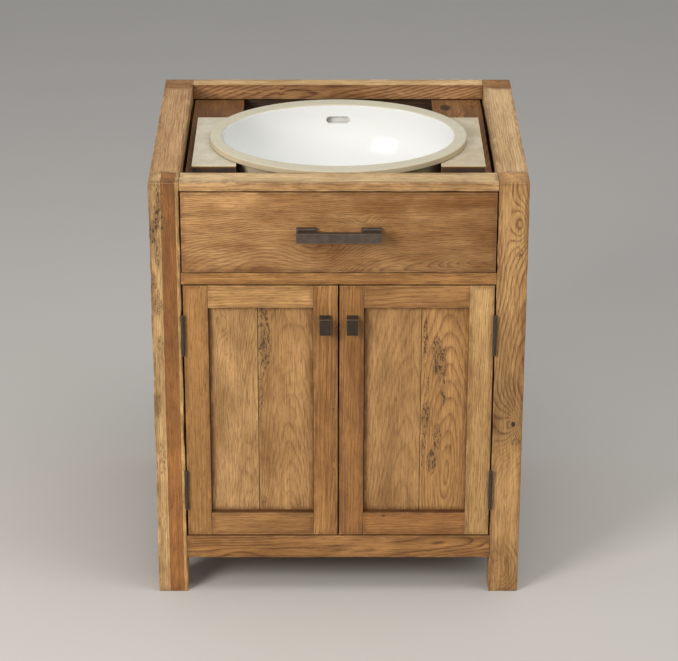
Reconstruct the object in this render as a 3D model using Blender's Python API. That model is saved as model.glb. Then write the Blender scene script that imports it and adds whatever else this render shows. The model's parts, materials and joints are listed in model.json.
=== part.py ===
"""Rustic oak bathroom vanity cabinet: post-and-rail frame, two doors, a drawer and an undermount basin."""

import math

import bmesh
import bpy

# Overall size, metres.
WIDTH = 0.686
DEPTH = 0.587
HEIGHT = 0.835
POST = 0.0556
FIT = 0.0003
PULL_REACH = 0.033
FRONT = (PULL_REACH - DEPTH) / 2.0
OPEN_X = WIDTH / 2.0 - POST

# Frame rails.
TOP_RAIL_H = 0.0165
TOP_RAIL_D = 0.054
SIDE_RAIL_H = 0.031
BACK_RAIL_D = 0.033
BACK_RAIL_H = 0.0305
MID_Z = (0.6375, 0.6596)
MID_D = 0.045
LOW_Z = (0.0735, 0.1199)
LOW_T = 0.022
PANEL_X = (0.320, 0.338)
BACK_T = (0.567, 0.579)
PIPE_OPENING = (0.150, 0.410, 0.610)

# Doors.
DOOR_Z = (0.1228, 0.635)
DOOR_T = 0.022
DOOR_GAP = 0.003
STILE = 0.045
DOOR_TOP = 0.044
DOOR_LOW = 0.047
GROOVE = 0.009
PANEL_FACE = 0.0095
PANEL_T = 0.007
SEAM = (0.1490, 0.1525)
SEAM_GAP = 0.0012

# Butt hinges.
HINGE_R = 0.0034
PIN_R = 0.0016
HINGE_OUT = 0.0039
LEAF_T = 0.0009
LEAF_IN = 0.020
HINGE_H = 0.080
HINGE_Z = (0.2197, 0.5375)

# Drawer.
FACE_X = 0.2852
FACE_Z = (0.661, 0.8162)
FACE_T = 0.020
BOX_X = (0.2625, 0.2745)
BOX_Z = (0.664, 0.735)
BOX_BACK = 0.500
BOX_FLOOR = 0.006
WELL_X = (0.2035, 0.2125)
WELL_D = (0.090, 0.099)
TRAVEL = 0.330

# Handle and knobs.
PULL_X = 0.077
PULL_Z = (0.731, 0.750)
KNOB_X = 0.0250
KNOB_Z = (0.545, 0.577)

# Basin and its supports.
BOWL_D = 0.262
RIM = (0.2415, 0.2035)
BOWL = (0.2180, 0.1705)
RIM_T = 0.012
BOWL_DEEP = 0.165
OVERFLOW_Z = 0.8040
WALL = 0.010
POWER = 2.4
DRAIN_R = 0.0225
BOARD_X = (0.1863, 0.2829)
BOARD_Z = (0.7845, 0.8025)
BLOCK_X = (0.1885, 0.270)
BLOCK_D = (0.122, 0.392)
PAD_T = 0.002

OAK = ((0.46, 0.32, 0.20), 0.62, 0.0)
OAK_INSIDE = ((0.50, 0.38, 0.25), 0.70, 0.0)
BRONZE = ((0.055, 0.047, 0.040), 0.42, 1.0)
STEEL = ((0.62, 0.62, 0.62), 0.32, 1.0)
CERAMIC = ((0.86, 0.86, 0.84), 0.10, 0.0)
PAD = ((0.86, 0.84, 0.78), 0.60, 0.0)


def clear():
    for thing in list(bpy.data.objects):
        bpy.data.objects.remove(thing, do_unlink=True)


def y_at(depth):
    return FRONT + depth


def store(name, bm, finish, parent=None):
    bmesh.ops.recalc_face_normals(bm, faces=bm.faces[:])
    bmesh.ops.triangulate(bm, faces=bm.faces[:], ngon_method="EAR_CLIP")
    mesh = bpy.data.meshes.new(name)
    bm.to_mesh(mesh)
    bm.free()
    thing = bpy.data.objects.new(name, mesh)
    bpy.context.scene.collection.objects.link(thing)
    if finish is not None:
        colour, roughness, metallic = finish
        look = bpy.data.materials.new(name + "_finish")
        look.use_nodes = True
        shader = look.node_tree.nodes["Principled BSDF"]
        shader.inputs["Base Color"].default_value = (*colour, 1.0)
        shader.inputs["Roughness"].default_value = roughness
        shader.inputs["Metallic"].default_value = metallic
        mesh.materials.append(look)
    if parent is not None:
        thing.parent = parent
        thing.matrix_parent_inverse = parent.matrix_world.inverted()
    return thing


def axis_point(name, x, y, z):
    empty = bpy.data.objects.new(name, None)
    bpy.context.scene.collection.objects.link(empty)
    empty.location = (x, y, z)
    bpy.context.view_layer.update()
    return empty


def board(name, xs, ds, zs, finish, parent=None, along=None, ease=0.0008):
    """A square-cut board; its long edges are eased when the grain direction is given."""
    bm = bmesh.new()
    bmesh.ops.create_cube(bm, size=1.0)
    x0, x1 = sorted(xs)
    for v in bm.verts:
        v.co.x = x1 if v.co.x > 0 else x0
        v.co.y = y_at(ds[1] if v.co.y > 0 else ds[0])
        v.co.z = zs[1] if v.co.z > 0 else zs[0]
    if along is not None:
        k = "xyz".index(along)
        long_edges = []
        for e in bm.edges:
            run = e.verts[1].co - e.verts[0].co
            if abs(run[k]) > 0.9 * run.length:
                long_edges.append(e)
        bmesh.ops.bevel(bm, geom=long_edges, offset=ease, segments=1, affect="EDGES")
    return store(name, bm, finish, parent)


def prism(name, outline, lo, hi, axis, finish, parent=None):
    """A closed outline carried along one axis: (x, y) for z, (y, z) for x, (x, z) for y."""
    bm = bmesh.new()
    ends = []
    for w in (lo, hi):
        ring = []
        for u, v in outline:
            point = {"z": (u, v, w), "x": (w, u, v), "y": (u, w, v)}[axis]
            ring.append(bm.verts.new(point))
        ends.append(ring)
    count = len(outline)
    bm.faces.new(ends[0])
    bm.faces.new(ends[1])
    for i in range(count):
        j = (i + 1) % count
        bm.faces.new((ends[0][i], ends[0][j], ends[1][j], ends[1][i]))
    return store(name, bm, finish, parent)


def stepped(name, cx, cz, steps, finish, parent=None):
    """Rectangular steps one in front of the other: (half width, half height, depth)."""
    bm = bmesh.new()
    rings = []
    for hw, hh, depth in steps:
        y = y_at(depth)
        corners = ((-hw, -hh), (hw, -hh), (hw, hh), (-hw, hh))
        rings.append([bm.verts.new((cx + u, y, cz + v)) for u, v in corners])
    bm.faces.new(rings[0])
    bm.faces.new(rings[-1])
    for a, b in zip(rings, rings[1:]):
        for i in range(4):
            j = (i + 1) % 4
            bm.faces.new((a[i], a[j], b[j], b[i]))
    return store(name, bm, finish, parent)


def circle(cx, cy, radius, count, turn=0.0):
    out = []
    for i in range(count):
        a = turn + 2.0 * math.pi * i / count
        out.append((cx + radius * math.cos(a), cy + radius * math.sin(a)))
    return out


def combine(target, tool, operation):
    """One exact boolean with a hidden tool body."""
    step = target.modifiers.new("step", "BOOLEAN")
    step.operation = operation
    step.solver = "EXACT"
    step.object = tool
    tool.hide_render = True
    tool.display_type = "WIRE"


def frame():
    posts = {"front": (0.0, POST), "back": (DEPTH - POST, DEPTH)}
    for side, s in (("left", -1), ("right", 1)):
        for end, ds in posts.items():
            xs = (s * OPEN_X, s * WIDTH / 2)
            board(f"post_{end}_{side}", xs, ds, (0.0, HEIGHT), OAK, along="z")
        run = (POST + FIT, DEPTH - POST - FIT)
        top = (HEIGHT - SIDE_RAIL_H, HEIGHT)
        board(f"rail_top_{side}", (s * OPEN_X, s * WIDTH / 2), run, top, OAK, along="y")
        xs = (s * 0.3160, s * 0.3380)
        board(f"rail_bottom_{side}", xs, run, LOW_Z, OAK, along="y")
        zs = (LOW_Z[1] + FIT, HEIGHT - SIDE_RAIL_H - FIT)
        xs = (s * PANEL_X[0], s * PANEL_X[1])
        board(f"side_panel_{side}", xs, run, zs, OAK)
    span = (-OPEN_X + FIT, OPEN_X - FIT)
    zs = (HEIGHT - TOP_RAIL_H, HEIGHT)
    board("rail_top_front", span, (0.0, TOP_RAIL_D), zs, OAK, along="x")
    zs = (HEIGHT - BACK_RAIL_H, HEIGHT)
    board("rail_top_back", span, (DEPTH - BACK_RAIL_D, DEPTH), zs, OAK, along="x")
    board("rail_middle", span, (0.0, MID_D), MID_Z, OAK, along="x")
    board("rail_bottom_front", span, (0.0, LOW_T), LOW_Z, OAK, along="x")
    board("rail_bottom_back", span, (DEPTH - LOW_T, DEPTH), LOW_Z, OAK, along="x")


def back_and_floor():
    zs = (LOW_Z[1] + FIT, HEIGHT - BACK_RAIL_H - FIT)
    span = (-OPEN_X + FIT, OPEN_X - FIT)
    back = board("back_panel", span, BACK_T, zs, OAK_INSIDE)
    half, z0, z1 = PIPE_OPENING
    hole = board("pipe_opening_cutter", (-half, half), (0.55, 0.60), (z0, z1), None)
    combine(back, hole, "DIFFERENCE")
    wide = 0.3160 - FIT
    slim = OPEN_X - FIT
    d0, d1 = LOW_T + FIT, POST + FIT
    d2, d3 = DEPTH - POST - FIT, DEPTH - LOW_T - FIT
    half_outline = [(slim, d0), (slim, d1), (wide, d1), (wide, d2), (slim, d2), (slim, d3)]
    outline = [(x, y_at(d)) for x, d in half_outline]
    outline += [(-x, y_at(d)) for x, d in reversed(half_outline)]
    prism("floor_panel", outline, LOW_Z[1] - 0.018, LOW_Z[1], "z", OAK_INSIDE)


def relieved(s, xs, ds, semi):
    """Plan outline of a board whose inner edge is cut back round the oval bowl."""
    x0, x1 = xs
    reach = semi[1] * math.sqrt(1.0 - (x0 / semi[0]) ** 2)
    out = [(x0, ds[0]), (x1, ds[0]), (x1, ds[1]), (x0, ds[1])]
    steps = 20
    for i in range(steps + 1):
        d = reach * (1.0 - 2.0 * i / steps)
        out.append((semi[0] * math.sqrt(1.0 - (d / semi[1]) ** 2), BOWL_D + d))
    return [(s * x, y_at(d)) for x, d in out]


def basin_supports():
    for side, s in (("left", -1), ("right", 1)):
        outline = relieved(s, BOARD_X, (0.026, BACK_T[0] - FIT), (0.2320, 0.1845))
        prism(f"sink_board_{side}", outline, BOARD_Z[0], BOARD_Z[1], "z", OAK)
        outline = relieved(s, BLOCK_X, BLOCK_D, (0.2320, 0.1845))
        low = BOARD_Z[1] + FIT
        high = HEIGHT - RIM_T - PAD_T - 2 * FIT
        prism(f"sink_block_{side}", outline, low, high, "z", OAK_INSIDE)
        prism(f"sink_pad_{side}", outline, high + FIT, HEIGHT - RIM_T - FIT, "z", PAD)


def basin():
    """Oval undermount bowl with a flat rim, a drain throat and an overflow pocket."""
    def oval(a, b, drop):
        return (a, b, HEIGHT - drop)

    def shell(a, b, deep, angles):
        out = []
        for angle in angles:
            r = math.cos(angle) ** (2.0 / POWER)
            z = math.sin(angle) ** (2.0 / POWER)
            out.append(oval(a * r, b * r, deep * z))
        return out

    angles = [math.radians(v) for v in (7, 14, 21, 28, 35, 42, 50, 58, 66, 74, 82)]
    a, b = BOWL
    rings = [oval(a + 0.0032, b + 0.0032, 0.0), oval(a + 0.0010, b + 0.0010, 0.0009)]
    rings.append(oval(a, b, 0.0032))
    rings += shell(a, b, BOWL_DEEP, angles)
    rings.append(oval(DRAIN_R, DRAIN_R, BOWL_DEEP + 0.001))
    rings.append(oval(DRAIN_R, DRAIN_R, BOWL_DEEP + 0.030))
    rings.append(oval(0.034, 0.034, BOWL_DEEP + 0.030))
    rings.append(oval(0.036, 0.036, BOWL_DEEP + WALL + 0.002))
    outer = shell(a + WALL, b + WALL, BOWL_DEEP + WALL, angles[:-1])
    rings += list(reversed(outer))
    rings.append(oval(a + WALL + 0.001, b + WALL + 0.001, RIM_T))
    rings.append(oval(RIM[0] - 0.0012, RIM[1] - 0.0012, RIM_T))
    rings.append(oval(RIM[0], RIM[1], RIM_T - 0.0012))
    rings.append(oval(RIM[0], RIM[1], 0.0014))
    rings.append(oval(RIM[0] - 0.0014, RIM[1] - 0.0014, 0.0))
    count = 72
    bm = bmesh.new()
    loops = []
    for ra, rb, z in rings:
        loop = []
        for i in range(count):
            t = 2.0 * math.pi * i / count
            loop.append(bm.verts.new((ra * math.cos(t), y_at(BOWL_D) + rb * math.sin(t), z)))
        loops.append(loop)
    for k, low in enumerate(loops):
        high = loops[(k + 1) % len(loops)]
        for i in range(count):
            j = (i + 1) % count
            bm.faces.new((low[i], low[j], high[j], high[i]))
    bowl = store("basin", bm, CERAMIC)
    boss = [(-0.031, 0.7890), (0.031, 0.7890), (0.031, 0.8235), (-0.031, 0.8235)]
    combine(bowl, prism("overflow_boss", boss, y_at(0.4375), y_at(0.4590), "y", None), "UNION")
    slot = []
    for sx, turn in ((1, -90), (-1, 90)):
        for i in range(9):
            t = math.radians(turn + 180.0 * i / 8)
            slot.append((sx * 0.0160 + 0.0070 * math.cos(t), OVERFLOW_Z + 0.0070 * math.sin(t)))
    cutter = prism("overflow_cutter", slot, y_at(0.40), y_at(0.4550), "y", None)
    combine(bowl, cutter, "DIFFERENCE")


def door(side, s):
    axis = axis_point(f"door_{side}_axis", s * (OPEN_X - DOOR_GAP / 2), FRONT - HINGE_OUT, 0.379)
    outer, inner = OPEN_X - DOOR_GAP, DOOR_GAP / 2
    g0, g1 = PANEL_FACE - FIT, PANEL_FACE + PANEL_T + FIT
    hinge_edge, free_edge = outer - STILE, inner + STILE

    def stile(name, edge, face, deep):
        points = [(edge, 0.0), (edge, DOOR_T), (face, DOOR_T), (face, g1)]
        points += [(deep, g1), (deep, g0), (face, g0), (face, 0.0)]
        outline = [(s * x, y_at(d)) for x, d in points]
        prism(name, outline, DOOR_Z[0], DOOR_Z[1], "z", OAK, axis)

    stile(f"door_{side}_hinge_stile", outer, hinge_edge, hinge_edge + GROOVE)
    stile(f"door_{side}_meeting_stile", inner, free_edge, free_edge - GROOVE)

    def rail(name, edge, face, deep, tenon):
        points = [(0.0, edge), (DOOR_T, edge), (DOOR_T, face), (g1, face)]
        points += [(g1, deep), (g0, deep), (g0, face), (0.0, face)]
        outline = [(y_at(d), z) for d, z in points]
        lo, hi = sorted((s * (free_edge + FIT), s * (hinge_edge - FIT)))
        body = prism(name, outline, lo, hi, "x", OAK, axis)
        xs = (s * (free_edge - GROOVE + FIT), s * (hinge_edge + GROOVE - FIT))
        tongue = board(name + "_tenon", xs, (g0 + FIT, g1 - FIT), tenon, None, axis)
        combine(body, tongue, "UNION")

    top_face, low_face = DOOR_Z[1] - DOOR_TOP, DOOR_Z[0] + DOOR_LOW
    tenon = (top_face + GROOVE + 0.0006, DOOR_Z[1] - 0.006)
    rail(f"door_{side}_top_rail", DOOR_Z[1], top_face, top_face + GROOVE, tenon)
    tenon = (DOOR_Z[0] + 0.006, low_face - GROOVE - 0.0006)
    rail(f"door_{side}_bottom_rail", DOOR_Z[0], low_face, low_face - GROOVE, tenon)

    seam = SEAM[0] if s < 0 else SEAM[1]
    zs = (low_face - GROOVE + 0.001, top_face + GROOVE - 0.001)
    ds = (PANEL_FACE, PANEL_FACE + PANEL_T)
    xs = (s * (free_edge - GROOVE + 0.001), s * (seam - SEAM_GAP / 2))
    board(f"door_{side}_inner_board", xs, ds, zs, OAK, axis, along="z")
    xs = (s * (seam + SEAM_GAP / 2), s * (hinge_edge + GROOVE - 0.001))
    board(f"door_{side}_outer_board", xs, ds, zs, OAK, axis, along="z")

    steps = [(0.0105, 0.016, -FIT), (0.0105, 0.016, -0.0045), (0.0068, 0.0120, -0.0052)]
    steps += [(0.0068, 0.0120, -0.0150), (0.0105, 0.016, -0.0157), (0.0105, 0.016, -0.0210)]
    steps.append((0.0098, 0.0153, -0.0217))
    knob_z = (KNOB_Z[0] + KNOB_Z[1]) / 2
    stepped(f"door_{side}_knob", s * KNOB_X, knob_z, steps, BRONZE, axis)
    for level, z in (("lower", HINGE_Z[0]), ("upper", HINGE_Z[1])):
        hinge(side, s, level, z, axis)


def leaf_outline(cx, cy, way):
    """Barrel circle with the leaf's tab and plate running back from it."""
    near, far = 0.0003, 0.0003 + LEAF_T
    a0 = math.atan2(math.sqrt(HINGE_R ** 2 - near ** 2), near)
    a1 = math.atan2(math.sqrt(HINGE_R ** 2 - far ** 2), far)
    points = [(near, HINGE_OUT + LEAF_IN), (far, HINGE_OUT + LEAF_IN)]
    steps = 20
    for i in range(steps + 1):
        t = a1 - (a1 + 2.0 * math.pi - a0) * i / steps
        points.append((HINGE_R * math.cos(t), HINGE_R * math.sin(t)))
    return [(cx + way * x, cy + y) for x, y in points]


def hinge(side, s, level, z, axis):
    """Five-knuckle butt hinge: three frame knuckles carry the pin, two door knuckles turn on it."""
    cx, cy = s * (OPEN_X - DOOR_GAP / 2), FRONT - HINGE_OUT
    z0, z1 = z - HINGE_H / 2, z + HINGE_H / 2
    each = HINGE_H / 5
    name = f"hinge_{side}_{level}"
    fixed = prism(name + "_frame_leaf", leaf_outline(cx, cy, s), z0, z1, "z", BRONZE)
    moving = prism(name + "_door_leaf", leaf_outline(cx, cy, -s), z0, z1, "z", BRONZE, axis)
    square = [(cx - 0.0063, cy - 0.0059), (cx + 0.0061, cy - 0.0061)]
    square += [(cx + 0.0062, cy + HINGE_OUT), (cx - 0.0060, cy + HINGE_OUT)]
    for k in (1, 3):
        lo, hi = z0 + k * each, z0 + (k + 1) * each
        room = prism(f"{name}_room_{k}", square, lo, hi, "z", None)
        pin = circle(cx, cy, PIN_R, 16, 0.13)
        core = prism(f"{name}_core_{k}", pin, lo - 0.0027, hi + 0.0027, "z", None)
        combine(room, core, "DIFFERENCE")
        combine(fixed, room, "DIFFERENCE")
    for k in (0, 2, 4):
        lo = z0 + k * each - (0.002 if k == 0 else FIT)
        hi = z0 + (k + 1) * each + (0.002 if k == 4 else FIT)
        room = prism(f"{name}_gap_{k}", square, lo, hi, "z", None)
        combine(moving, room, "DIFFERENCE")
    bore = circle(cx, cy, PIN_R + 0.0004, 16, 0.13)
    tool = prism(f"{name}_bore", bore, z0 - 0.002, z1 + 0.002, "z", None)
    combine(moving, tool, "DIFFERENCE")


def drawer():
    axis = axis_point("drawer_axis", 0.0, FRONT, (BOX_Z[0] + BOX_Z[1]) / 2)
    board("drawer_front", (-FACE_X, FACE_X), (0.0, FACE_T), FACE_Z, OAK, axis, along="x")
    start = FACE_T + FIT
    floor_top = BOX_Z[0] + BOX_FLOOR
    for side, s in (("left", -1), ("right", 1)):
        xs = (s * BOX_X[0], s * BOX_X[1])
        board(f"drawer_side_{side}", xs, (start, BOX_BACK), BOX_Z, OAK_INSIDE, axis)
        xs = (s * WELL_X[0], s * WELL_X[1])
        zs = (floor_top + FIT, BOX_Z[1])
        board(f"drawer_well_{side}", xs, (WELL_D[0], BOX_BACK), zs, OAK_INSIDE, axis)
        xs = (s * (WELL_X[1] + FIT), s * (BOX_X[0] - FIT))
        board(f"drawer_back_{side}", xs, (BOX_BACK - 0.010, BOX_BACK), zs, OAK_INSIDE, axis)
        slides(side, s, axis)
    zs = (floor_top + FIT, BOX_Z[1])
    xs = (-WELL_X[0] + FIT, WELL_X[0] - FIT)
    board("drawer_well_front", xs, WELL_D, zs, OAK_INSIDE, axis)
    wide, slim = BOX_X[0] - FIT, WELL_X[0]
    half = [(wide, start), (wide, BOX_BACK), (slim, BOX_BACK), (slim, WELL_D[1])]
    outline = [(x, y_at(d)) for x, d in half]
    outline += [(-x, y_at(d)) for x, d in reversed(half)]
    prism("drawer_bottom", outline, BOX_Z[0], floor_top, "z", OAK_INSIDE, axis)
    pull(axis)


def slides(side, s, axis):
    """Side-mounted runner: a fixed channel on the posts and a channel on the drawer inside it."""
    def channel(name, web, lip, zs, ds, parent):
        t = 0.001
        way = 1 if lip > web else -1
        points = [(web, zs[0]), (lip, zs[0]), (lip, zs[0] + t), (web + way * t, zs[0] + t)]
        points += [(web + way * t, zs[1] - t), (lip, zs[1] - t), (lip, zs[1]), (web, zs[1])]
        outline = [(s * x, z) for x, z in points]
        prism(name, outline, y_at(ds[0]), y_at(ds[1]), "y", STEEL, parent)

    fixed_web, moving_web = OPEN_X - FIT, BOX_X[1] + FIT
    channel(f"slide_{side}_fixed", fixed_web, 0.2785, (0.680, 0.725), (0.024, 0.545), None)
    channel(f"slide_{side}_moving", moving_web, 0.2848, (0.6835, 0.7215), (0.024, BOX_BACK), axis)


def pull(axis):
    """Bar pull: a flat bar carried on two stepped feet flush with its ends."""
    mid = (PULL_Z[0] + PULL_Z[1]) / 2
    bar = board("drawer_pull", (-PULL_X, PULL_X), (-PULL_REACH, -0.0240), PULL_Z, BRONZE, axis)
    for side, s in (("left", -1), ("right", 1)):
        cx = s * (PULL_X - 0.0185)
        steps = [(0.0182, 0.0093, -FIT), (0.0182, 0.0093, -0.0070), (0.0155, 0.0065, -0.0078)]
        steps.append((0.0155, 0.0065, -0.0260))
        foot = stepped(f"pull_foot_{side}", cx, mid, steps, None, axis)
        combine(bar, foot, "UNION")


clear()
frame()
back_and_floor()
basin_supports()
basin()
door("left", -1)
door("right", 1)
drawer()
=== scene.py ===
"""Looks, light and camera for the rustic oak vanity cabinet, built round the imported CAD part."""

import json
import math

import bmesh
import bpy
from mathutils import Matrix, Vector, noise


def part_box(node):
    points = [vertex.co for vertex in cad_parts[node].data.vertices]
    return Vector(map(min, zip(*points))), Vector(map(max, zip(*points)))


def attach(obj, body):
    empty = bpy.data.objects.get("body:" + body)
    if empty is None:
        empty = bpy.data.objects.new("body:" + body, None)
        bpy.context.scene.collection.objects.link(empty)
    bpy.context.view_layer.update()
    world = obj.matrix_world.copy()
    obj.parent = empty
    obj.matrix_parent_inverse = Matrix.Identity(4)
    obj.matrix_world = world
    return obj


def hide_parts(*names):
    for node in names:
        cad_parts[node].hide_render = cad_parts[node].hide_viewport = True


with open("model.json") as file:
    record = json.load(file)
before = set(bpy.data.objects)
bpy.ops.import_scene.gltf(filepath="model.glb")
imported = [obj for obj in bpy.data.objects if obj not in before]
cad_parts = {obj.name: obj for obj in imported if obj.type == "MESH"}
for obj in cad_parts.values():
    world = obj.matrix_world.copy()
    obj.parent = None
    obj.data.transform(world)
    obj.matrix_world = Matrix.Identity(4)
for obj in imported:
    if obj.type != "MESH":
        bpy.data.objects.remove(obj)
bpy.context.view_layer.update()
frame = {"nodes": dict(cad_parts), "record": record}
NODES = frame["nodes"]
BODY = {}
for body, members in frame["record"]["behaviour"]["bodies"].items():
    for member in members:
        BODY[member] = body
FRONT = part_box("post_front_left")[0].y
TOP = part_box("post_front_left")[1].z


# ---------------------------------------------------------------- shader graphs
class Graph:
    """A short way of writing node graphs: every method returns an output socket."""

    def __init__(self, name):
        self.mat = bpy.data.materials.new(name)
        self.mat.use_nodes = True
        self.tree = self.mat.node_tree
        self.tree.nodes.clear()
        self.coords = None

    def node(self, kind, **props):
        n = self.tree.nodes.new(kind)
        for key, value in props.items():
            setattr(n, key, value)
        return n

    def put(self, socket, value):
        if isinstance(value, bpy.types.NodeSocket):
            self.tree.links.new(value, socket)
        elif isinstance(value, (tuple, list)) and len(value) == 3 and socket.type == "RGBA":
            socket.default_value = (*value, 1.0)
        else:
            socket.default_value = value

    def math(self, op, a, b=0.0, c=0.0, clamp=False):
        n = self.node("ShaderNodeMath", operation=op, use_clamp=clamp)
        self.put(n.inputs[0], a)
        self.put(n.inputs[1], b)
        self.put(n.inputs[2], c)
        return n.outputs[0]

    def add(self, a, b):
        return self.math("ADD", a, b)

    def sub(self, a, b):
        return self.math("SUBTRACT", a, b)

    def mul(self, a, b):
        return self.math("MULTIPLY", a, b)

    def madd(self, a, b, c):
        return self.math("MULTIPLY_ADD", a, b, c)

    def low(self, a, b):
        return self.math("MINIMUM", a, b)

    def high(self, a, b):
        return self.math("MAXIMUM", a, b)

    def coord(self, which):
        if self.coords is None:
            self.coords = self.node("ShaderNodeTexCoord")
        return self.coords.outputs[which]

    def split(self, vector):
        n = self.node("ShaderNodeSeparateXYZ")
        self.put(n.inputs[0], vector)
        return n.outputs[0], n.outputs[1], n.outputs[2]

    def join(self, x, y, z):
        n = self.node("ShaderNodeCombineXYZ")
        for i, value in enumerate((x, y, z)):
            self.put(n.inputs[i], value)
        return n.outputs[0]

    def noise(self, vector, scale=1.0, detail=2.0, rough=0.55, swirl=0.0):
        n = self.node("ShaderNodeTexNoise")
        self.put(n.inputs["Vector"], vector)
        n.inputs["Scale"].default_value = scale
        n.inputs["Detail"].default_value = detail
        n.inputs["Roughness"].default_value = rough
        n.inputs["Distortion"].default_value = swirl
        return n.outputs[0]

    def smooth(self, value, start, end):
        n = self.node("ShaderNodeMapRange", interpolation_type="SMOOTHSTEP")
        self.put(n.inputs[0], value)
        flip = start > end
        n.inputs[1].default_value = end if flip else start
        n.inputs[2].default_value = start if flip else end
        n.inputs[3].default_value = 1.0 if flip else 0.0
        n.inputs[4].default_value = 0.0 if flip else 1.0
        return n.outputs[0]

    def mix(self, fac, a, b, blend="MIX"):
        n = self.node("ShaderNodeMix", data_type="RGBA", blend_type=blend)
        self.put(n.inputs[0], fac)
        self.put(n.inputs[6], a)
        self.put(n.inputs[7], b)
        return n.outputs[2]

    def shade(self, colour, factor):
        """colour times a number."""
        grey = self.join(factor, factor, factor)
        return self.mix(1.0, colour, grey, "MULTIPLY")

    def edge(self, lo, hi):
        """Distance to the nearest edge of a box, for a point on one of its faces."""
        d = []
        for value, a, b in zip(self.split(self.coord("Object")), lo, hi):
            off = self.math("ABSOLUTE", self.sub(value, (a + b) / 2))
            d.append(self.sub((b - a) / 2, off))
        return self.high(self.low(d[0], d[1]), self.low(self.high(d[0], d[1]), d[2]))

    def finish(self, colour, rough, metallic=0.0, height=None, strength=0.3, reach=0.001, **more):
        shader = self.node("ShaderNodeBsdfPrincipled")
        out = self.node("ShaderNodeOutputMaterial")
        self.put(shader.inputs["Base Color"], colour)
        self.put(shader.inputs["Roughness"], rough)
        self.put(shader.inputs["Metallic"], metallic)
        for key, value in more.items():
            shader.inputs[key.replace("_", " ")].default_value = value
        if height is not None:
            bump = self.node("ShaderNodeBump")
            bump.inputs["Strength"].default_value = strength
            bump.inputs["Distance"].default_value = reach
            self.put(bump.inputs["Height"], height)
            self.tree.links.new(bump.outputs[0], shader.inputs["Normal"])
        self.tree.links.new(shader.outputs[0], out.inputs["Surface"])
        return self.mat


PALE = (0.62, 0.40, 0.175)
TAN = (0.50, 0.27, 0.092)
WARM = (0.34, 0.155, 0.046)
LINE = (0.115, 0.044, 0.013)
ROT = (0.035, 0.022, 0.013)
LEDGE_SHADE = (0.34, 0.29, 0.24)  # painted shade: darkens the up-facing ledge of a door's bottom rail under the panel, where the recess shades it
ALONG = {"x": (0, 2, 1), "y": (1, 0, 2), "z": (2, 0, 1)}


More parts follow.
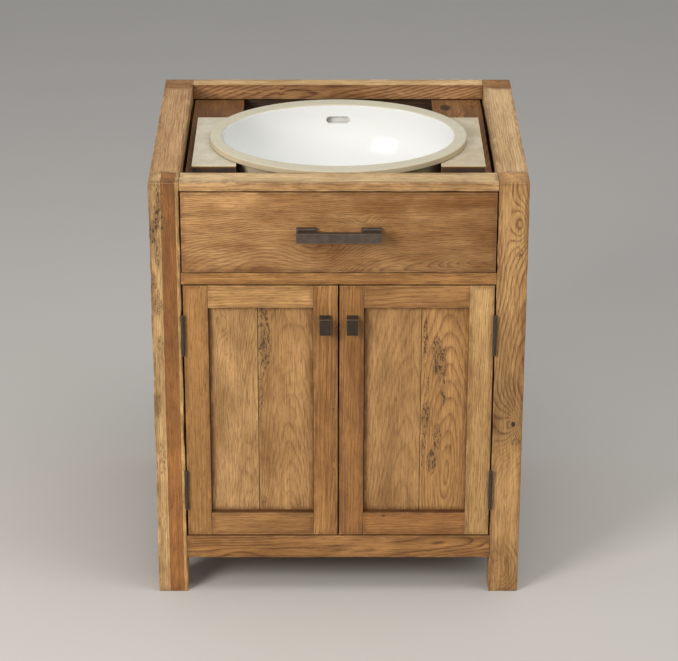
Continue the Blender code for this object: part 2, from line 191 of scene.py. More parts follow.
def oak(name, axis, lo, hi, light=TAN, dark=WARM, seed=1.0, pith=(0.09, 0.11), tilt=(0.02, 0.03),
        ring=0.0045, rings=0.5, wobble=0.006, streaks=0.5, patches=0.6, cracks=0.0, spots=(), knots=(),
        strips=(), bright=1.0, line=LINE, end=0.62, grime=0.55, fade=(0.0, 0.0),
        crown=None, soil=None, bands=(), long=1.0):
    """Sawn oak: growth rings cut by the board's faces, fibres and pores along the grain, worn edges.

    spots are dark rotten or cracked areas of the front (along, across, half length, half width, strength);
    knots pull the rings round them (along, across, radius, darkness);
    strips are laminations (from, to, light, dark, brightness) across the board;
    fade is how much brighter and paler the board gets towards its far end and its far edge;
    crown multiplies the colour of the faces that look up, painted light and shade by facing; soil is the visible
    opening of a recessed panel: a painted shadow line runs round it, and the edge darkening is measured from it;
    bands are stretches of darker or lighter wood (from, to, brightness, strength of the rings);
    long stretches the fibres along the grain.
    """
    g = Graph(name)
    axes = ALONG[axis]
    p = g.split(g.coord("Object"))
    u, a, b = p[axes[0]], p[axes[1]], p[axes[2]]
    mid = [(lo[k] + hi[k]) / 2 for k in axes]
    s = seed * 7.31

    def field(fu, fa, detail=2.0, rough=0.55, jump=0.0, swirl=0.0):
        v = g.join(g.madd(u, fu, s + jump), g.madd(a, fa, s * 0.7 - jump), g.madd(b, fa, s * 1.3))
        return g.noise(v, 1.0, detail, rough, swirl)

    broad = field(4.0, 15, 3.0, 0.6)
    cloud = field(13.0, 34, 3.0, 0.60, 4.7)
    drift_a = g.sub(field(2.6, 8, 2.0, 0.5, 11.3), 0.5)
    drift_b = g.sub(field(2.6, 8, 2.0, 0.5, 23.9), 0.5)
    run = g.sub(u, mid[0])
    da = g.add(g.sub(g.sub(a, mid[1] + pith[0]), g.mul(run, tilt[0])), g.mul(drift_a, wobble * 6))
    db = g.add(g.sub(g.sub(b, mid[2] + pith[1]), g.mul(run, tilt[1])), g.mul(drift_b, wobble * 6))
    radius = g.math("SQRT", g.madd(da, da, g.mul(db, db)))
    knot_dark = None
    for ku, ka, kr, kd in knots:
        du = g.mul(g.sub(u, ku), 1.0 / (kr * (1.5 if kd else 2.0)))
        dk = g.mul(g.sub(a, ka), 1.0 / kr)
        far2 = g.madd(du, du, g.mul(dk, dk))
        pull = g.math("POWER", 2.718, g.mul(far2, -0.30))
        radius = g.madd(pull, kr * 1.5, radius)
        if kd > 0.0:
            core = g.mul(g.smooth(g.madd(cloud, 1.1, g.sub(far2, 0.55)), 0.60, 0.10), kd)
            knot_dark = core if knot_dark is None else g.high(knot_dark, core)
    fine = field(20, 90, 2.0, 0.55, 3.1)
    phase = g.madd(fine, 0.42, g.mul(radius, 1.0 / ring))
    t = g.math("FRACT", phase)
    rise = g.math("POWER", t, 4.2)
    fall = g.math("POWER", g.sub(1.0, t), 12.0)
    rim = g.high(rise, fall)
    breaks = g.madd(g.smooth(field(22 / long, 300, 2.0, 0.6, 31.0), 0.36, 0.56), 0.6, 0.4)
    faint = g.mul(g.mul(g.smooth(field(5.0, 22, 2.0, 0.55, 17.7), 0.30, 0.50), 1.35 * rings), breaks)

    streak = field(2.6 / long, 185, 3.0, 0.66, 6.1)
    fibre = field(6.5 / long, 560, 3.0, 0.72, 1.9)
    pore = g.smooth(field(42 / long, 700, 2.0, 0.6, 8.3), 0.55, 0.62)
    fleck = g.smooth(field(30 / long, 480, 2.0, 0.6, 37.0), 0.58, 0.64)
    shade = g.madd(g.sub(broad, 0.5), patches * 3.6, 0.5)
    shade = g.madd(g.sub(streak, 0.5), streaks * 2.3, shade)
    shade = g.math("ADD", shade, g.mul(g.sub(cloud, 0.5), patches * 1.8), clamp=True)
    half = [(hi[k] - lo[k]) / 2 for k in axes]
    shade = g.madd(run, 2.2 * fade[0] / half[0], shade)
    shade = g.math("ADD", shade, g.mul(g.sub(a, mid[1]), 2.2 * fade[1] / half[1]), clamp=True)
    base = g.mix(shade, dark, light)
    tone = g.madd(g.sub(fibre, 0.5), 0.85, bright)
    tone = g.mul(tone, g.madd(run, fade[0] / half[0], 1.0))
    tone = g.mul(tone, g.madd(g.sub(a, mid[1]), fade[1] / half[1], 1.0))
    for u0, u1, gain, figure in bands:
        at = g.madd(g.sub(cloud, 0.5), 0.05, u)
        inside = g.mul(g.smooth(at, u0 - 0.016, u0 + 0.016), g.smooth(at, u1 + 0.016, u1 - 0.016))
        tone = g.mul(tone, g.madd(inside, gain - 1.0, 1.0))
        faint = g.mul(faint, g.madd(inside, figure - 1.0, 1.0))
    for x0, x1, pale, deep, lift in strips:
        inside = g.mul(g.smooth(a, x0 - 0.0002, x0 + 0.0002), g.smooth(a, x1 + 0.0002, x1 - 0.0002))
        base = g.mix(inside, base, g.mix(shade, deep, pale))
        tone = g.mul(tone, g.madd(inside, lift - 1.0, 1.0))
        seam = g.smooth(g.math("ABSOLUTE", g.sub(a, x0)), 0.0011, 0.0002)
        tone = g.mul(tone, g.madd(seam, -0.30, 1.0))
    base = g.mix(g.mul(rim, faint), base, line)
    base = g.mix(g.mul(pore, 0.42), base, line)
    base = g.mix(g.mul(fleck, 0.34), base, line)

    hollow = None
    if knot_dark is not None:
        base = g.mix(knot_dark, base, ROT)
        hollow = knot_dark
    split = field(75, 330, 3.0, 0.72, 13.0)
    if cracks > 0.0:
        where = g.smooth(field(4.5, 22, 2.0, 0.6, 29.0), 0.52, 0.66)
        crack = g.mul(g.mul(g.smooth(split, 0.54, 0.59), where), cracks)
        base = g.mix(crack, base, ROT)
        hollow = crack if hollow is None else g.high(hollow, crack)
    if spots:
        ragged = field(70, 160, 3.0, 0.7, 43.0)
        speck = field(115, 370, 3.0, 0.72, 53.0)
        front = lo[axes[2]]
        outer = g.smooth(b, front + 0.026, front + 0.010)
    for su, sa, lu, la, force in spots:
        du = g.mul(g.sub(u, su), 1.0 / lu)
        dk = g.mul(g.sub(a, sa), 1.0 / la)
        far2 = g.madd(du, du, g.mul(dk, dk))
        far2 = g.madd(g.sub(ragged, 0.5), 2.4, far2)
        zone = g.mul(g.smooth(g.madd(g.sub(cloud, 0.5), 1.6, far2), 1.10, 0.30), outer)
        stain = g.mul(zone, 0.38 * force)
        crack = g.mul(g.mul(g.smooth(speck, 0.525, 0.565), zone), 0.75 * force)
        base = g.mix(stain, base, (0.200, 0.104, 0.041))
        base = g.mix(crack, base, (0.064, 0.031, 0.011))
        hollow = crack if hollow is None else g.high(hollow, crack)

    normal = g.split(g.coord("Normal"))[axes[0]]
    ends = g.smooth(g.math("ABSOLUTE", normal), 0.6, 0.9)
    base = g.mix(g.mul(ends, 0.72), base, g.shade(base, end))
    tone = g.mul(tone, g.madd(g.mul(ends, g.sub(cloud, 0.5)), 0.9, 1.0))
    near = g.edge(lo, hi)
    rub = g.smooth(g.madd(g.sub(cloud, 0.5), 0.0022, near), 0.0024, 0.0004)
    base = g.mix(g.mul(rub, 0.16), base, PALE)
    # A near-black line round the visible opening of a recessed panel: painted shadow where the frame shades the
    # panel's edges.
    if soil:
        gap = [g.sub((h - l) / 2, g.math("ABSOLUTE", g.sub(v, (h + l) / 2)))
               for v, l, h in ((p[0], soil[0][0], soil[1][0]), (p[2], soil[0][2], soil[1][2]))]
        near = g.low(gap[0], gap[1])
        base = g.mix(g.smooth(near, 0.0016, 0.0002), base, (0.035, 0.016, 0.007))
    # Darker near the board's edges, and on recessed panels near the visible opening: dirt along the joints, and
    # painted shade round a panel's recess.
    dirt_and_shade = g.mul(g.smooth(near, 0.012, 0.0008), g.smooth(field(24, 60, 3.0, 0.65, 41.0), 0.30, 0.62))
    base = g.mix(g.mul(dirt_and_shade, grime), base, LINE)
    base = g.shade(base, tone)
    # Faces that look up are multiplied by a given colour: painted light and shade by how they face.
    if crown:
        up = g.smooth(g.split(g.coord("Normal"))[2], 0.5, 0.8)
        base = g.mix(up, base, g.mix(1.0, base, crown, "MULTIPLY"))

    height = g.madd(fibre, 0.45, g.mul(rim, -0.35))
    height = g.madd(pore, -0.45, height)
    height = g.madd(streak, 0.35, height)
    if hollow is not None:
        height = g.madd(hollow, -1.8, height)
    rough = g.madd(fibre, 0.16, g.madd(rim, 0.06, 0.48))
    return g.finish(base, rough, 0.0, height, 0.42, 0.0008, Specular_IOR_Level=0.30)


def bronze(name, lo, hi, colour=(0.060, 0.050, 0.042), rub=0.5, top=1.0):
    """Dark bronze plating over a cast body: soft mottling, fine brushing and rubbed edges; top multiplies the colour
    of faces that look up, a painted shade where it is below 1.
    """
    g = Graph(name)
    p = g.coord("Object")
    mottle = g.noise(p, 70.0, 2.0, 0.5)
    fine = g.noise(p, 1500.0, 2.0, 0.6)
    near = g.edge(lo, hi)
    worn = g.smooth(g.madd(g.sub(mottle, 0.5), 0.0016, near), 0.0011, 0.0002)
    base = g.mix(g.smooth(mottle, 0.35, 0.7), [c * 0.95 for c in colour], [c * 1.25 for c in colour])
    # Faces that look up are scaled by top; below 1 this is painted shade.
    base = g.mix(g.smooth(g.split(g.coord("Normal"))[2], 0.5, 0.8), base, g.shade(base, top))
    base = g.mix(g.mul(worn, rub), base, (0.20, 0.165, 0.13))
    rough = g.madd(mottle, 0.16, g.madd(fine, 0.08, 0.34))
    return g.finish(base, rough, 0.55, g.madd(fine, 0.6, mottle), 0.18, 0.0003)


def steel(name):
    g = Graph(name)
    p = g.split(g.coord("Object"))
    brushed = g.noise(g.join(g.mul(p[0], 900), g.mul(p[1], 12), g.mul(p[2], 900)), 1.0, 2.0)
    spangle = g.noise(g.coord("Object"), 90.0, 2.0)
    base = g.mix(spangle, (0.42, 0.43, 0.44), (0.62, 0.62, 0.63))
    return g.finish(base, g.madd(brushed, 0.25, 0.22), 1.0, brushed, 0.15, 0.0002)


def glaze(name, centre, bowl):
    """White vitreous glaze inside the bowl; the ground rim and the outside are unglazed cream."""
    g = Graph(name)
    x, y, z = g.split(g.coord("Object"))
    dx = g.mul(g.sub(x, centre[0]), 1.0 / bowl[0])
    dy = g.mul(g.sub(y, centre[1]), 1.0 / bowl[1])
    far = g.math("SQRT", g.madd(dx, dx, g.mul(dy, dy)))
    mottle = g.noise(g.coord("Object"), 45.0, 3.0, 0.6)
    speck = g.noise(g.coord("Object"), 900.0, 2.0, 0.6)
    ragged = g.madd(g.sub(mottle, 0.5), 0.006, far)
    bisque = g.mul(g.smooth(ragged, 1.000, 1.005), g.smooth(z, TOP - 0.020, TOP - 0.008))
    outside = g.smooth(g.split(g.coord("Normal"))[2], 0.02, -0.10)
    bisque = g.high(bisque, g.mul(outside, g.smooth(far, 0.30, 0.40)))
    cream = g.mix(mottle, (0.41, 0.37, 0.275), (0.49, 0.455, 0.352))
    cream = g.mix(g.mul(g.smooth(speck, 0.56, 0.72), 0.25), cream, (0.36, 0.32, 0.24))
    # The rim's side faces are made warmer and darker: partly the tan staining of the unglazed edge, partly painted
    # warm shade.
    side = g.smooth(g.split(g.coord("Normal"))[2], 0.75, 0.30)
    cream = g.mix(side, cream, g.mix(1.0, cream, (1.0, 0.90, 0.76), "MULTIPLY"))
    base = g.mix(bisque, (0.655, 0.655, 0.637), cream)
    rough = g.madd(bisque, 0.62, g.madd(mottle, 0.03, 0.11))
    return g.finish(base, rough, 0.0, g.mul(bisque, speck), 0.15, 0.0004, Specular_IOR_Level=0.13)


def painted(name, lo, hi, painted_warm_shade):
    """Off-white laminate sheet with raw yellow edges and faint smears; its top is multiplied by a given warm colour,
    painted shade.
    """
    g = Graph(name)
    p = g.coord("Object")
    smear = g.noise(p, 22.0, 3.0, 0.65)
    fine = g.noise(p, 420.0, 2.0, 0.6)
    up = g.smooth(g.split(g.coord("Normal"))[2], 0.5, 0.8)
    top = g.mix(g.smooth(smear, 0.35, 0.7), (0.41, 0.36, 0.265), (0.50, 0.455, 0.365))
    near = g.edge(lo, hi)
    top = g.mix(g.mul(g.smooth(near, 0.0025, 0.0003), 0.5), top, (0.60, 0.49, 0.27))
    base = g.mix(up, (0.55, 0.42, 0.18), g.mix(1.0, top, painted_warm_shade, "MULTIPLY"))
    return g.finish(base, g.madd(smear, 0.2, 0.45), 0.0, fine, 0.12, 0.0003)


# ---------------------------------------------------------------- shapes
def link(name, mesh):
    thing = bpy.data.objects.new(name, mesh)
    bpy.context.scene.collection.objects.link(thing)
    return thing


def stand_for(thing, node, mat):
    thing.data.materials.clear()
    thing.data.materials.append(mat)
    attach(thing, BODY[node])
    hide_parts(node)
    return thing


def worn_box(name, lo, hi, axis, ease=0.0013, seed=0.0, wear=0.45):
    """A board with softened, slightly uneven edges and a trace of waviness on its faces."""
    k = "xyz".index(axis)
    bm = bmesh.new()
    bmesh.ops.create_cube(bm, size=1.0)
    for v in bm.verts:
        for i in range(3):
            v.co[i] = hi[i] if v.co[i] > 0 else lo[i]
    edges = []
    for e in bm.edges:
        d = e.verts[1].co - e.verts[0].co
        if abs(d[k]) > 0.9 * d.length:
            edges.append(e)
    cuts = max(2, min(40, int((hi[k] - lo[k]) / 0.018)))
    bmesh.ops.subdivide_edges(bm, edges=edges, cuts=cuts, use_grid_fill=True)
    sharp = [e for e in bm.edges if len(e.link_faces) == 2 and e.calc_face_angle() > 1.0]
    bmesh.ops.bevel(bm, geom=sharp, offset=ease, segments=3, profile=0.6, affect="EDGES",
                    clamp_overlap=True)
    centre = [(lo[i] + hi[i]) / 2 for i in range(3)]
    half = [(hi[i] - lo[i]) / 2 for i in range(3)]
    for v in bm.verts:
        off = [half[i] - abs(v.co[i] - centre[i]) for i in range(3)]
        near = sorted(off)[1]
        if near > ease * 1.2:
            continue
        n = noise.noise(v.co * 31.0 + Vector((seed, seed * 2.0, -seed)))
        n += 0.5 * noise.noise(v.co * 90.0 - Vector((seed, 0.0, seed)))
        push = ease * wear * max(0.0, n + 0.15)
        for i in range(3):
            if i != k and off[i] < ease * 1.2:
                v.co[i] -= math.copysign(push, v.co[i] - centre[i])
    for f in bm.faces:
        f.smooth = True
    mesh = bpy.data.meshes.new(name)
    bm.to_mesh(mesh)
    bm.free()
    thing = link(name, mesh)
    normals = thing.modifiers.new("normals", "WEIGHTED_NORMAL")
    normals.keep_sharp = True
    normals.weight = 80
    return thing


def richer(colour, gain, blue=0.87):
    """A little more or less light, and a warmer hue than the raw tone."""
    return (colour[0] * gain, colour[1] * gain * 0.975, colour[2] * gain * blue)


def plank(node, axis, ease=0.0013, box=None, wear=0.45, **look):
    """Replaces a CAD board with a worn one carrying its own oak."""
    lo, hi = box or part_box(node)
    if "light" in look:
        look["light"] = richer(look["light"], 1.12)
        look["dark"] = richer(look["dark"], 0.80, 0.79)
    look["ring"] = look.get("ring", 0.0045) * 0.72
    seed = look.get("seed", 1.0)
    thing = worn_box(node + "_board", lo, hi, axis, ease, seed, wear)
    mat = oak(node + "_oak", axis, lo, hi, **look)
    return stand_for(thing, node, mat)


def keep(node, mat, ease=0.0006, segments=2):
    """Keeps a CAD node's own mesh, with softened edges and a detailed material."""
    thing = NODES[node]
    thing.data.materials.clear()
    thing.data.materials.append(mat)
    if ease:
        weld = thing.modifiers.new("weld", "WELD")
        weld.merge_threshold = 0.00002
        soft = thing.modifiers.new("soften", "BEVEL")
        soft.width = ease
        soft.segments = segments
        soft.limit_method = "ANGLE"
        soft.angle_limit = math.radians(50)
        soft.use_clamp_overlap = True
    return thing


# ---------------------------------------------------------------- cabinet frame
def cabinet_frame():
    x0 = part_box("post_front_left")[0].x
    strips = (
        (x0 - 0.001, x0 + 0.0225, (0.64, 0.41, 0.180), (0.36, 0.215, 0.088), 1.0),
        (x0 + 0.0225, x0 + 0.0485, (0.38, 0.161, 0.042), (0.212, 0.083, 0.024), 1.0),
        (x0 + 0.0485, x0 + 0.057, (0.70, 0.43, 0.165), (0.48, 0.27, 0.095), 1.0),
    )
    rotten = ((0.800, x0 + 0.019, 0.036, 0.005, 1.7), (0.768, x0 + 0.015, 0.028, 0.007, 1.7),
              (0.740, x0 + 0.007, 0.026, 0.009, 1.7), (0.775, x0 + 0.0255, 0.050, 0.005, 1.3),
              (0.700, x0 + 0.014, 0.035, 0.006, 0.8), (0.640, x0 + 0.006, 0.022, 0.008, 1.1),
              (0.600, x0 + 0.013, 0.030, 0.010, 0.9), (0.520, x0 + 0.016, 0.020, 0.006, 0.6),
              (0.400, x0 + 0.008, 0.030, 0.006, 0.6), (0.290, x0 + 0.014, 0.045, 0.007, 0.7))
    plank("post_front_left", "z", seed=3.0, ease=0.0020, wear=1.0,
          bands=((0.715, 0.84, 0.83, 1.0), (0.30, 0.715, 0.95, 1.0), (-0.1, 0.30, 1.20, 1.0)), strips=strips, spots=rotten, rings=0.35, cracks=0.25,
          pith=(-0.14, 0.05), tilt=(0.02, 0.04), streaks=0.9, patches=0.9, end=0.66)
    x1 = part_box("post_front_right")[1].x
    plank("post_front_right", "z", seed=5.3, ease=0.0016, wear=0.8, light=(0.50, 0.294, 0.129),
          dark=(0.385, 0.201, 0.08), pith=(0.030, 0.045), tilt=(0.030, 0.04), ring=0.0046, rings=0.70,
          wobble=0.0040, bright=0.99,
          bands=((0.315, 0.46, 0.88, 1.1), (0.10, 0.315, 1.04, 0.30), (-0.1, 0.10, 0.95, 0.7)),
          knots=((0.753, x1 - 0.011, 0.012, 0.0), (0.355, x1 - 0.0173, 0.0062, 0.95),
                 (0.345, x1 - 0.026, 0.017, 0.0), (0.774, x1 - 0.0545, 0.0024, 0.95),
                 (0.045, x1 - 0.028, 0.013, 0.0)),
          spots=((0.700, x1 - 0.013, 0.016, 0.0055, 1.1), (0.318, x1 - 0.012, 0.008, 0.010, 0.8)),
          streaks=0.4, end=0.95)
    plank("post_back_left", "z", seed=7.7, end=0.62, pith=(0.08, 0.06))
    plank("post_back_right", "z", seed=8.9, end=0.62, pith=(-0.07, 0.08))
    # The top rails' up-facing faces carry painted light: cooler and a little darker on the front rail, about twice as
    # bright on the back rail.
    plank("rail_top_front", "x", seed=11.0, light=(0.648, 0.404, 0.203), dark=(0.497, 0.278, 0.128),
          pith=(-0.05, 0.09), rings=0.35, crown=(0.845, 0.970, 1.130),
          spots=((-0.255, TOP, 0.012, 0.002, 0.45), (-0.205, TOP, 0.007, 0.002, 0.45), (0.225, TOP, 0.005, 0.002, 0.45)))
    plank("rail_top_back", "x", seed=12.4, light=(0.455, 0.250, 0.121), dark=(0.318, 0.150, 0.062),
          pith=(0.02, -0.06), tilt=(0.32, 0.05), ring=0.008, rings=0.95, crown=(1.66, 2.13, 2.46), bright=0.93,
          knots=((-0.112, 0.8265, 0.0024, 0.8), (-0.112, 0.8155, 0.0020, 0.8)))
    plank("rail_top_left", "y", seed=13.1, light=(0.462, 0.283, 0.147), dark=(0.361, 0.205, 0.100),
          pith=(0.06, -0.055), tilt=(0.02, 0.03), rings=0.30, wobble=0.002, patches=0.4, long=2.4,
          knots=((0.20, -0.335, 0.003, 0.8), (-0.12, -0.33, 0.002, 0.7)))
    plank("rail_top_right", "y", seed=14.6, light=(0.525, 0.364, 0.206), dark=(0.422, 0.271, 0.141),
          pith=(0.10, -0.08), rings=0.30, wobble=0.002, patches=0.4, long=2.4)
    plank("rail_middle", "x", seed=15.2, bright=1.10, light=(0.460, 0.238, 0.084), dark=(0.345, 0.163, 0.056),
          pith=(0.07, 0.09), rings=0.5, ring=0.003)
    plank("rail_bottom_front", "x", seed=16.9, light=(0.430, 0.218, 0.081), dark=(0.315, 0.144, 0.050),
          pith=(-0.012, 0.040), tilt=(0.10, 0.05), ring=0.0062, rings=0.9, wobble=0.008)
    plank("rail_bottom_back", "x", seed=17.5)
    plank("rail_bottom_left", "y", seed=18.2)
    plank("rail_bottom_right", "y", seed=19.4)
    plank("side_panel_left", "z", seed=20.1, ease=0.0006, pith=(0.2, 0.08), ring=0.006, rings=0.8,
          cracks=0.3, patches=0.9)
    plank("side_panel_right", "z", seed=21.8, ease=0.0006, pith=(-0.2, 0.05), ring=0.006, rings=0.8,
          cracks=0.3, patches=0.9)
    for node in ("back_panel", "floor_panel"):
        lo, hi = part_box(node)
        if node == "back_panel":
            # The back panel's near-black colour is a dark stain and painted shade: it stands in the shade behind the
            # basin.
            stain = dict(light=(0.110, 0.060, 0.031), dark=(0.058, 0.032, 0.017), line=(0.02, 0.012, 0.008))
        else:
            stain = dict(light=(0.40, 0.24, 0.115), dark=(0.29, 0.16, 0.07))
        keep(node, oak(node + "_oak", "x", lo, hi, seed=22.0 + len(node), pith=(0.1, 0.12), **stain))


def doors():
    looks = {
        "door_left_hinge_stile": dict(seed=31.0, light=(0.415, 0.213, 0.077), dark=(0.34, 0.166, 0.058),
                                      rings=0.18, patches=0.35, streaks=0.45, bright=1.0),
        "door_left_meeting_stile": dict(bright=1.10, seed=32.0, light=(0.42, 0.213, 0.075), dark=(0.272, 0.123, 0.041),
                                        rings=0.55, ring=0.008, pith=(0.10, 0.06), streaks=0.8,
                                        spots=((0.385, -0.0095, 0.035, 0.004, 0.9),
                                               (0.270, -0.0085, 0.050, 0.002, 0.8))),
        "door_left_inner_board": dict(seed=33.0, light=(0.42, 0.235, 0.098), dark=(0.335, 0.172, 0.068),
                                      pith=(0.006, 0.045), tilt=(0.02, 0.12), ring=0.006, rings=0.42,
                                      streaks=0.35, patches=0.85, bright=1.03,
                                      spots=((0.525, -0.138, 0.072, 0.014, 1.2),
                                             (0.525, -0.140, 0.022, 0.007, 1.6),
                                             (0.578, -0.139, 0.015, 0.009, 1.3),
                                             (0.410, -0.145, 0.055, 0.006, 1.0),
                                             (0.345, -0.146, 0.030, 0.004, 0.7),
                                             (0.190, -0.140, 0.015, 0.008, 0.6))),
        "door_left_outer_board": dict(bright=1.07, seed=34.0, light=(0.46, 0.272, 0.125), dark=(0.38, 0.21, 0.092),
                                      rings=0.36, ring=0.004, wobble=0.012, patches=0.85, streaks=0.35,
                                      knots=((0.555, -0.205, 0.009, 0.0), (0.500, -0.198, 0.007, 0.0))),
        "door_right_meeting_stile": dict(seed=35.0, light=(0.342, 0.163, 0.055), dark=(0.256, 0.112, 0.037),
                                         rings=0.35, ring=0.006, pith=(0.12, 0.05), streaks=0.7),
        "door_right_inner_board": dict(seed=36.0, light=(0.42, 0.235, 0.098), dark=(0.335, 0.175, 0.072),
                                       pith=(0.035, 0.05), tilt=(0.06, 0.10), ring=0.008, rings=0.30,
                                       streaks=0.30, patches=0.65, bright=1.02),
        "door_right_outer_board": dict(seed=37.0, light=(0.42, 0.23, 0.093), dark=(0.335, 0.175, 0.069),
                                       pith=(0.004, 0.020), tilt=(0.02, 0.16), ring=0.0075, rings=0.55,
                                       spots=((0.482, 0.189, 0.042, 0.0145, 1.7), (0.510, 0.180, 0.024, 0.010, 1.3),
                                              (0.520, 0.160, 0.055, 0.005, 1.4),
                                              (0.418, 0.195, 0.032, 0.0052, 1.5),
                                              (0.430, 0.164, 0.030, 0.006, 1.0),
                                              (0.374, 0.163, 0.030, 0.008, 1.4),
                                              (0.325, 0.184, 0.032, 0.008, 1.3),
                                              (0.271, 0.174, 0.034, 0.010, 1.4),
                                              (0.310, 0.159, 0.080, 0.005, 1.0),
                                              (0.575, 0.215, 0.025, 0.010, 0.5)), bright=1.25),
        "door_right_hinge_stile": dict(bright=1.08, seed=38.0, light=(0.50, 0.315, 0.142), dark=(0.41, 0.225, 0.09),
                                       rings=0.30, ring=0.005, pith=(0.10, 0.05)),
        "door_left_top_rail": dict(bright=1.12, seed=39.0, light=(0.500, 0.286, 0.120), dark=(0.408, 0.218, 0.087),
                                   rings=0.40, ring=0.0055, pith=(-0.10, 0.10), tilt=(0.01, 0.02)),
        "door_left_bottom_rail": dict(seed=40.0, light=(0.355, 0.181, 0.067), dark=(0.272, 0.125, 0.043),
                                      rings=0.35, ring=0.0035, patches=0.8, crown=LEDGE_SHADE),
        "door_right_top_rail": dict(bright=1.08, seed=41.0, light=(0.41, 0.215, 0.083), dark=(0.31, 0.15, 0.056),
                                    rings=0.55, ring=0.008, pith=(-0.05, 0.08), tilt=(0.10, 0.05)),
        "door_right_bottom_rail": dict(seed=42.0, light=(0.375, 0.175, 0.061), dark=(0.284, 0.122, 0.041),
                                       rings=0.30, patches=0.6, crown=LEDGE_SHADE, knots=((0.085, 0.163, 0.004, 0.6),)),
    }
    for side in ("left", "right"):
        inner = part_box(f"door_{side}_meeting_stile")
        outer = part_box(f"door_{side}_hinge_stile")
        span = (inner[1].x, outer[0].x) if side == "right" else (outer[1].x, inner[0].x)
        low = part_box(f"door_{side}_bottom_rail")[1].z
        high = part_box(f"door_{side}_top_rail")[0].z
        for part in ("hinge_stile", "meeting_stile", "inner_board", "outer_board"):
            node = f"door_{side}_{part}"
            board = part.endswith("board")
            if board:
                # The opening is taken 1 mm in at the left and 1.2 mm up at the bottom so the painted shadow line is
                # wider there; the stronger edge darkening is painted shade round the recess as well as dirt.
                looks[node]["soil"] = ((span[0] + 0.0010, 0.0, low + 0.0012), (span[1], 0.0, high))
                looks[node]["grime"] = 0.72
            plank(node, "z", ease=0.0004 if board else 0.0010, **looks[node])
        for part in ("top_rail", "bottom_rail"):
            node = f"door_{side}_{part}"
            a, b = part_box(node)
            a = Vector((span[0] + 0.0002, a.y, a.z))
            b = Vector((span[1] - 0.0002, b.y, b.z))
            plank(node, "x", ease=0.0010, box=(a, b), **looks[node])
        node = f"door_{side}_knob"
        keep(node, bronze(node + "_bronze", *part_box(node), colour=(0.044, 0.030, 0.019)), 0.0007, 3)


def drawer():
    plank("drawer_front", "x", seed=51.0, fade=(-0.07, 0.07), bright=0.93, ease=0.0012, light=(0.430, 0.240, 0.104),
          dark=(0.290, 0.119, 0.033), pith=(-0.065, 0.030), tilt=(0.02, -0.12), ring=0.0046, rings=0.55,
          wobble=0.009, patches=0.85, streaks=0.25,
          knots=((0.045, 0.752, 0.012, 0.12), (-0.03, 0.69, 0.02, 0.0)))
    for node in sorted(NODES):
        if node.startswith("drawer_") and node not in ("drawer_front", "drawer_pull"):
            lo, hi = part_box(node)
            size = hi - lo
            axis = "x" if size.x > size.y else "y"
            if node == "drawer_bottom":
                keep(node, oak(node + "_oak", "x", lo, hi, seed=58.0, light=PALE, dark=TAN, rings=0.3))
            else:
                plank(node, axis, ease=0.0007, seed=52.0 + len(node), light=(0.60, 0.41, 0.22),
                      dark=(0.48, 0.30, 0.14), rings=0.3)
    # The pull's top faces are painted at about a third of its colour: painted shade.
    keep("drawer_pull", bronze("drawer_pull_bronze", *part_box("drawer_pull"), colour=(0.097, 0.070, 0.052),
                               top=0.35), 0.0008, 3)


def fittings():
    for node in sorted(NODES):
        if node.startswith("hinge_"):
            keep(node, bronze(node + "_bronze", *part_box(node), colour=(0.058, 0.046, 0.037), rub=0.7), 0.0003)
        if node.startswith("slide_"):
            keep(node, steel(node + "_zinc"), 0.0002, 1)
    for side, s in (("left", 1.0), ("right", 2.0)):
        node = f"sink_board_{side}"
        lo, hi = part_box(node)
        knots = ((lo.y + 0.481, 0.213, 0.019, 1.0),) if side == "right" else ()
        light, dark = ((0.270, 0.135, 0.049), (0.135, 0.060, 0.021)) if side == "right" else \
                      ((0.197, 0.092, 0.030), (0.101, 0.043, 0.0135))
        keep(node, oak(node + "_oak", "y", lo, hi, seed=60.0 + s, light=light, dark=dark, pith=(0.01, -0.05),
                       tilt=(0.05, 0.14), ring=0.0055, rings=0.8, patches=0.9, knots=knots), 0.0010, 3)
        node = f"sink_block_{side}"
        lo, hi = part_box(node)
        # The blocks' wood is near black: dark wood, darkened further as painted shade, as they sit in shade inside the
        # frame.
        keep(node, oak(node + "_oak", "y", lo, hi, seed=64.0 + s, light=(0.075, 0.055, 0.042),
                       dark=(0.045, 0.034, 0.027), line=(0.02, 0.015, 0.012), rings=0.4), 0.0006)
        node = f"sink_pad_{side}"
        # The right pad's top is painted warmer and darker: painted shade from the basin and warm light bounced off the
        # wood.
        painted_warm_shade = (0.94, 0.88, 0.80) if side == "right" else (1.0, 1.0, 1.0)
        keep(node, painted(node + "_sheet", *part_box(node), painted_warm_shade), 0.0003, 1)


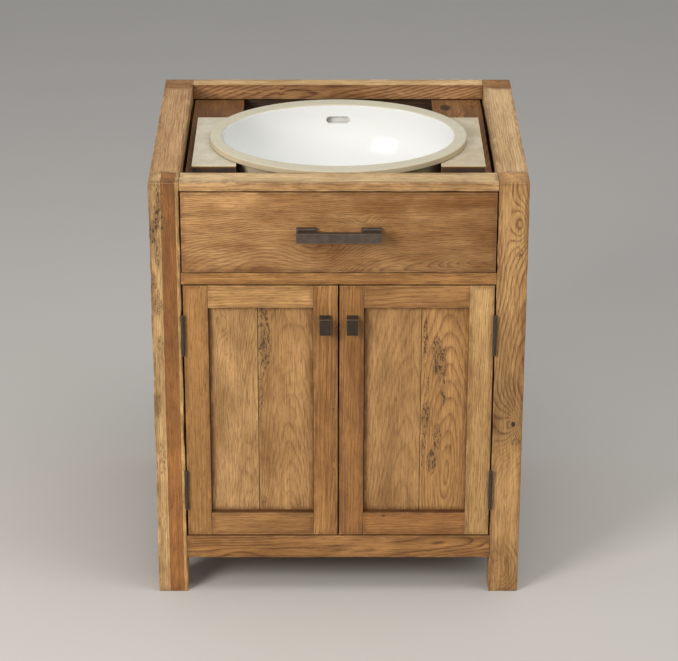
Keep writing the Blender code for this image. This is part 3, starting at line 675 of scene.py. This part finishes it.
def basin():
    """The oval bowl again at a finer pitch, with a rounded lip, a soft overflow slot and a glazed inside."""
    lo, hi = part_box("basin")
    cx, cy = (lo.x + hi.x) / 2, (lo.y + hi.y) / 2
    rim = ((hi.x - lo.x) / 2, (hi.y - lo.y) / 2)
    bowl = (rim[0] - 0.0235, rim[1] - 0.0330)
    deep, wall, power, drain = 0.165, 0.010, 2.4, 0.0225

    def shell(a, b, depth, angles):
        out = []
        for angle in angles:
            r = math.cos(angle) ** (2.0 / power)
            out.append((a * r, b * r, depth * math.sin(angle) ** (2.0 / power)))
        return out

    angles = [math.radians(v) for v in (5, 8, 12, 16, 20, 25, 30, 35, 40, 45, 50, 55, 60, 65, 70, 75, 80, 84)]
    a, b = bowl
    rings = [(a + 0.0036, b + 0.0036, 0.0), (a + 0.0022, b + 0.0022, 0.0003)]
    rings += [(a + 0.0010, b + 0.0010, 0.0011), (a + 0.0002, b + 0.0002, 0.0024), (a, b, 0.0036)]
    rings += shell(a, b, deep, angles)
    rings += [(drain + 0.004, drain + 0.004, deep), (drain + 0.001, drain + 0.001, deep + 0.0010)]
    rings += [(drain, drain, deep + 0.0030), (drain, drain, deep + 0.0295)]
    rings += [(0.0335, 0.0335, deep + 0.0295), (0.036, 0.036, deep + wall + 0.002)]
    rings += list(reversed(shell(a + wall, b + wall, deep + wall, angles[:-2])))
    rings += [(a + wall + 0.0012, b + wall + 0.0012, 0.0119), (rim[0] - 0.0015, rim[1] - 0.0015, 0.0119)]
    rings += [(rim[0] - 0.0004, rim[1] - 0.0004, 0.0112), (rim[0], rim[1], 0.0100)]
    rings += [(rim[0], rim[1], 0.0022), (rim[0] - 0.0006, rim[1] - 0.0006, 0.0007)]
    rings += [(rim[0] - 0.0020, rim[1] - 0.0020, 0.0)]
    count = 160
    bm = bmesh.new()
    loops = []
    for ra, rb, drop in rings:
        loop = []
        for i in range(count):
            t = 2.0 * math.pi * i / count
            loop.append(bm.verts.new((cx + ra * math.cos(t), cy + rb * math.sin(t), TOP - drop)))
        loops.append(loop)
    for k, one in enumerate(loops):
        two = loops[(k + 1) % len(loops)]
        for i in range(count):
            j = (i + 1) % count
            bm.faces.new((one[i], one[j], two[j], two[i]))
    bmesh.ops.recalc_face_normals(bm, faces=bm.faces[:])
    for f in bm.faces:
        f.smooth = True
    mesh = bpy.data.meshes.new("basin_bowl")
    bm.to_mesh(mesh)
    bm.free()
    thing = link("basin_bowl", mesh)
    boss = overflow_boss(cx, cy + bowl[1])
    tool = slot_cutter(cx, cy + bowl[1] - 0.005, TOP - 0.031)
    for operation, other in (("UNION", boss), ("DIFFERENCE", tool)):
        cut = thing.modifiers.new("overflow", "BOOLEAN")
        cut.operation = operation
        cut.object = other
        cut.solver = "EXACT"
    bpy.context.view_layer.update()
    done = bpy.data.meshes.new_from_object(thing.evaluated_get(bpy.context.evaluated_depsgraph_get()))
    thing.modifiers.clear()
    thing.data = done
    bpy.data.objects.remove(tool)
    bpy.data.objects.remove(boss)
    normals = thing.modifiers.new("normals", "WEIGHTED_NORMAL")
    normals.keep_sharp = True
    return stand_for(thing, "basin", glaze("basin_glaze", (cx, cy), bowl))


def overflow_boss(cx, wall):
    """The closed pocket behind the overflow slot."""
    bm = bmesh.new()
    bmesh.ops.create_cube(bm, size=1.0)
    for v in bm.verts:
        v.co.x = cx + v.co.x * 0.062
        v.co.y = wall + (0.026 if v.co.y > 0 else 0.005)
        v.co.z = TOP - (0.0115 if v.co.z > 0 else 0.0460)
    upright = [e for e in bm.edges if abs(e.verts[0].co.z - e.verts[1].co.z) > 0.01]
    bmesh.ops.bevel(bm, geom=upright, offset=0.004, segments=4, profile=0.5, affect="EDGES")
    mesh = bpy.data.meshes.new("overflow_boss")
    bm.to_mesh(mesh)
    bm.free()
    return link("overflow_boss", mesh)


def slot_cutter(cx, cy, cz):
    bm = bmesh.new()
    ends = []
    for y in (cy - 0.0275, cy + 0.0150):
        ring = []
        for sx, turn in ((1, -90), (-1, 90)):
            for i in range(13):
                t = math.radians(turn + 180.0 * i / 12)
                ring.append(bm.verts.new((cx + sx * 0.016 + 0.007 * math.cos(t), y, cz + 0.007 * math.sin(t))))
        ends.append(ring)
    bm.faces.new(ends[0])
    bm.faces.new(ends[1])
    n = len(ends[0])
    for i in range(n):
        j = (i + 1) % n
        bm.faces.new((ends[0][i], ends[0][j], ends[1][j], ends[1][i]))
    bmesh.ops.recalc_face_normals(bm, faces=bm.faces[:])
    mesh = bpy.data.meshes.new("overflow_tool")
    bm.to_mesh(mesh)
    bm.free()
    return link("overflow_tool", mesh)


# ---------------------------------------------------------------- stage, light, camera
def stage():
    bm = bmesh.new()
    bmesh.ops.create_grid(bm, x_segments=1, y_segments=1, size=30.0)
    mesh = bpy.data.meshes.new("floor")
    bm.to_mesh(mesh)
    bm.free()
    floor = link("floor", mesh)
    g = Graph("floor_plain")
    soft = g.noise(g.coord("Object"), 3.0, 2.0, 0.5)
    base = g.mix(soft, (0.455, 0.435, 0.41), (0.475, 0.455, 0.43))
    floor.data.materials.append(g.finish(base, 0.75))

    world = bpy.data.worlds.new("studio")
    world.use_nodes = True
    sky = world.node_tree.nodes["Background"]
    sky.inputs[0].default_value = (0.97, 0.985, 1.0, 1.0)
    sky.inputs[1].default_value = 0.43
    bpy.context.scene.world = world
    lamp("key", (-2.35, -2.6, 2.15), (0.0, 0.0, 0.45), 1.4, 118.0, (1.0, 0.975, 0.94))
    lamp("fill", (2.5, -1.3, 2.6), (0.0, 0.0, 0.6), 2.2, 32.0, (1.0, 0.985, 0.96))
    lamp("overhead", (0.4, -0.6, 3.6), (0.0, 0.0, 0.6), 2.2, 47.0, (1.0, 0.99, 0.97))
    bpy.context.scene.view_settings.view_transform = "Standard"


def lamp(name, place, aim, size, power, colour):
    data = bpy.data.lights.new(name, "AREA")
    data.shape = "SQUARE"
    data.size = size
    data.energy = power
    data.color = colour
    thing = bpy.data.objects.new(name, data)
    bpy.context.scene.collection.objects.link(thing)
    thing.location = place
    thing.rotation_euler = (Vector(aim) - Vector(place)).to_track_quat("-Z", "Y").to_euler()


def camera():
    """An ordinary camera at the viewing angle: tilted down at the cabinet, with no lens shift."""
    yaw, pitch, roll = -0.00469, -0.41503, -0.00191
    turn = Matrix.Rotation(yaw, 3, "Z") @ Matrix.Rotation(pitch, 3, "X") @ Matrix.Rotation(roll, 3, "Y")
    data = bpy.data.cameras.new("camera")
    data.sensor_width = 36.0
    data.lens = 139.27
    data.clip_end = 100.0
    thing = bpy.data.objects.new("camera", data)
    bpy.context.scene.collection.objects.link(thing)
    thing.rotation_euler = (turn @ Matrix.Rotation(math.pi / 2, 3, "X")).to_euler()
    thing.location = (-0.0201, FRONT - 4.4024, 2.4863)
    bpy.context.scene.camera = thing


cabinet_frame()
doors()
drawer()
fittings()
basin()
stage()
camera()
bpy.context.view_layer.update()
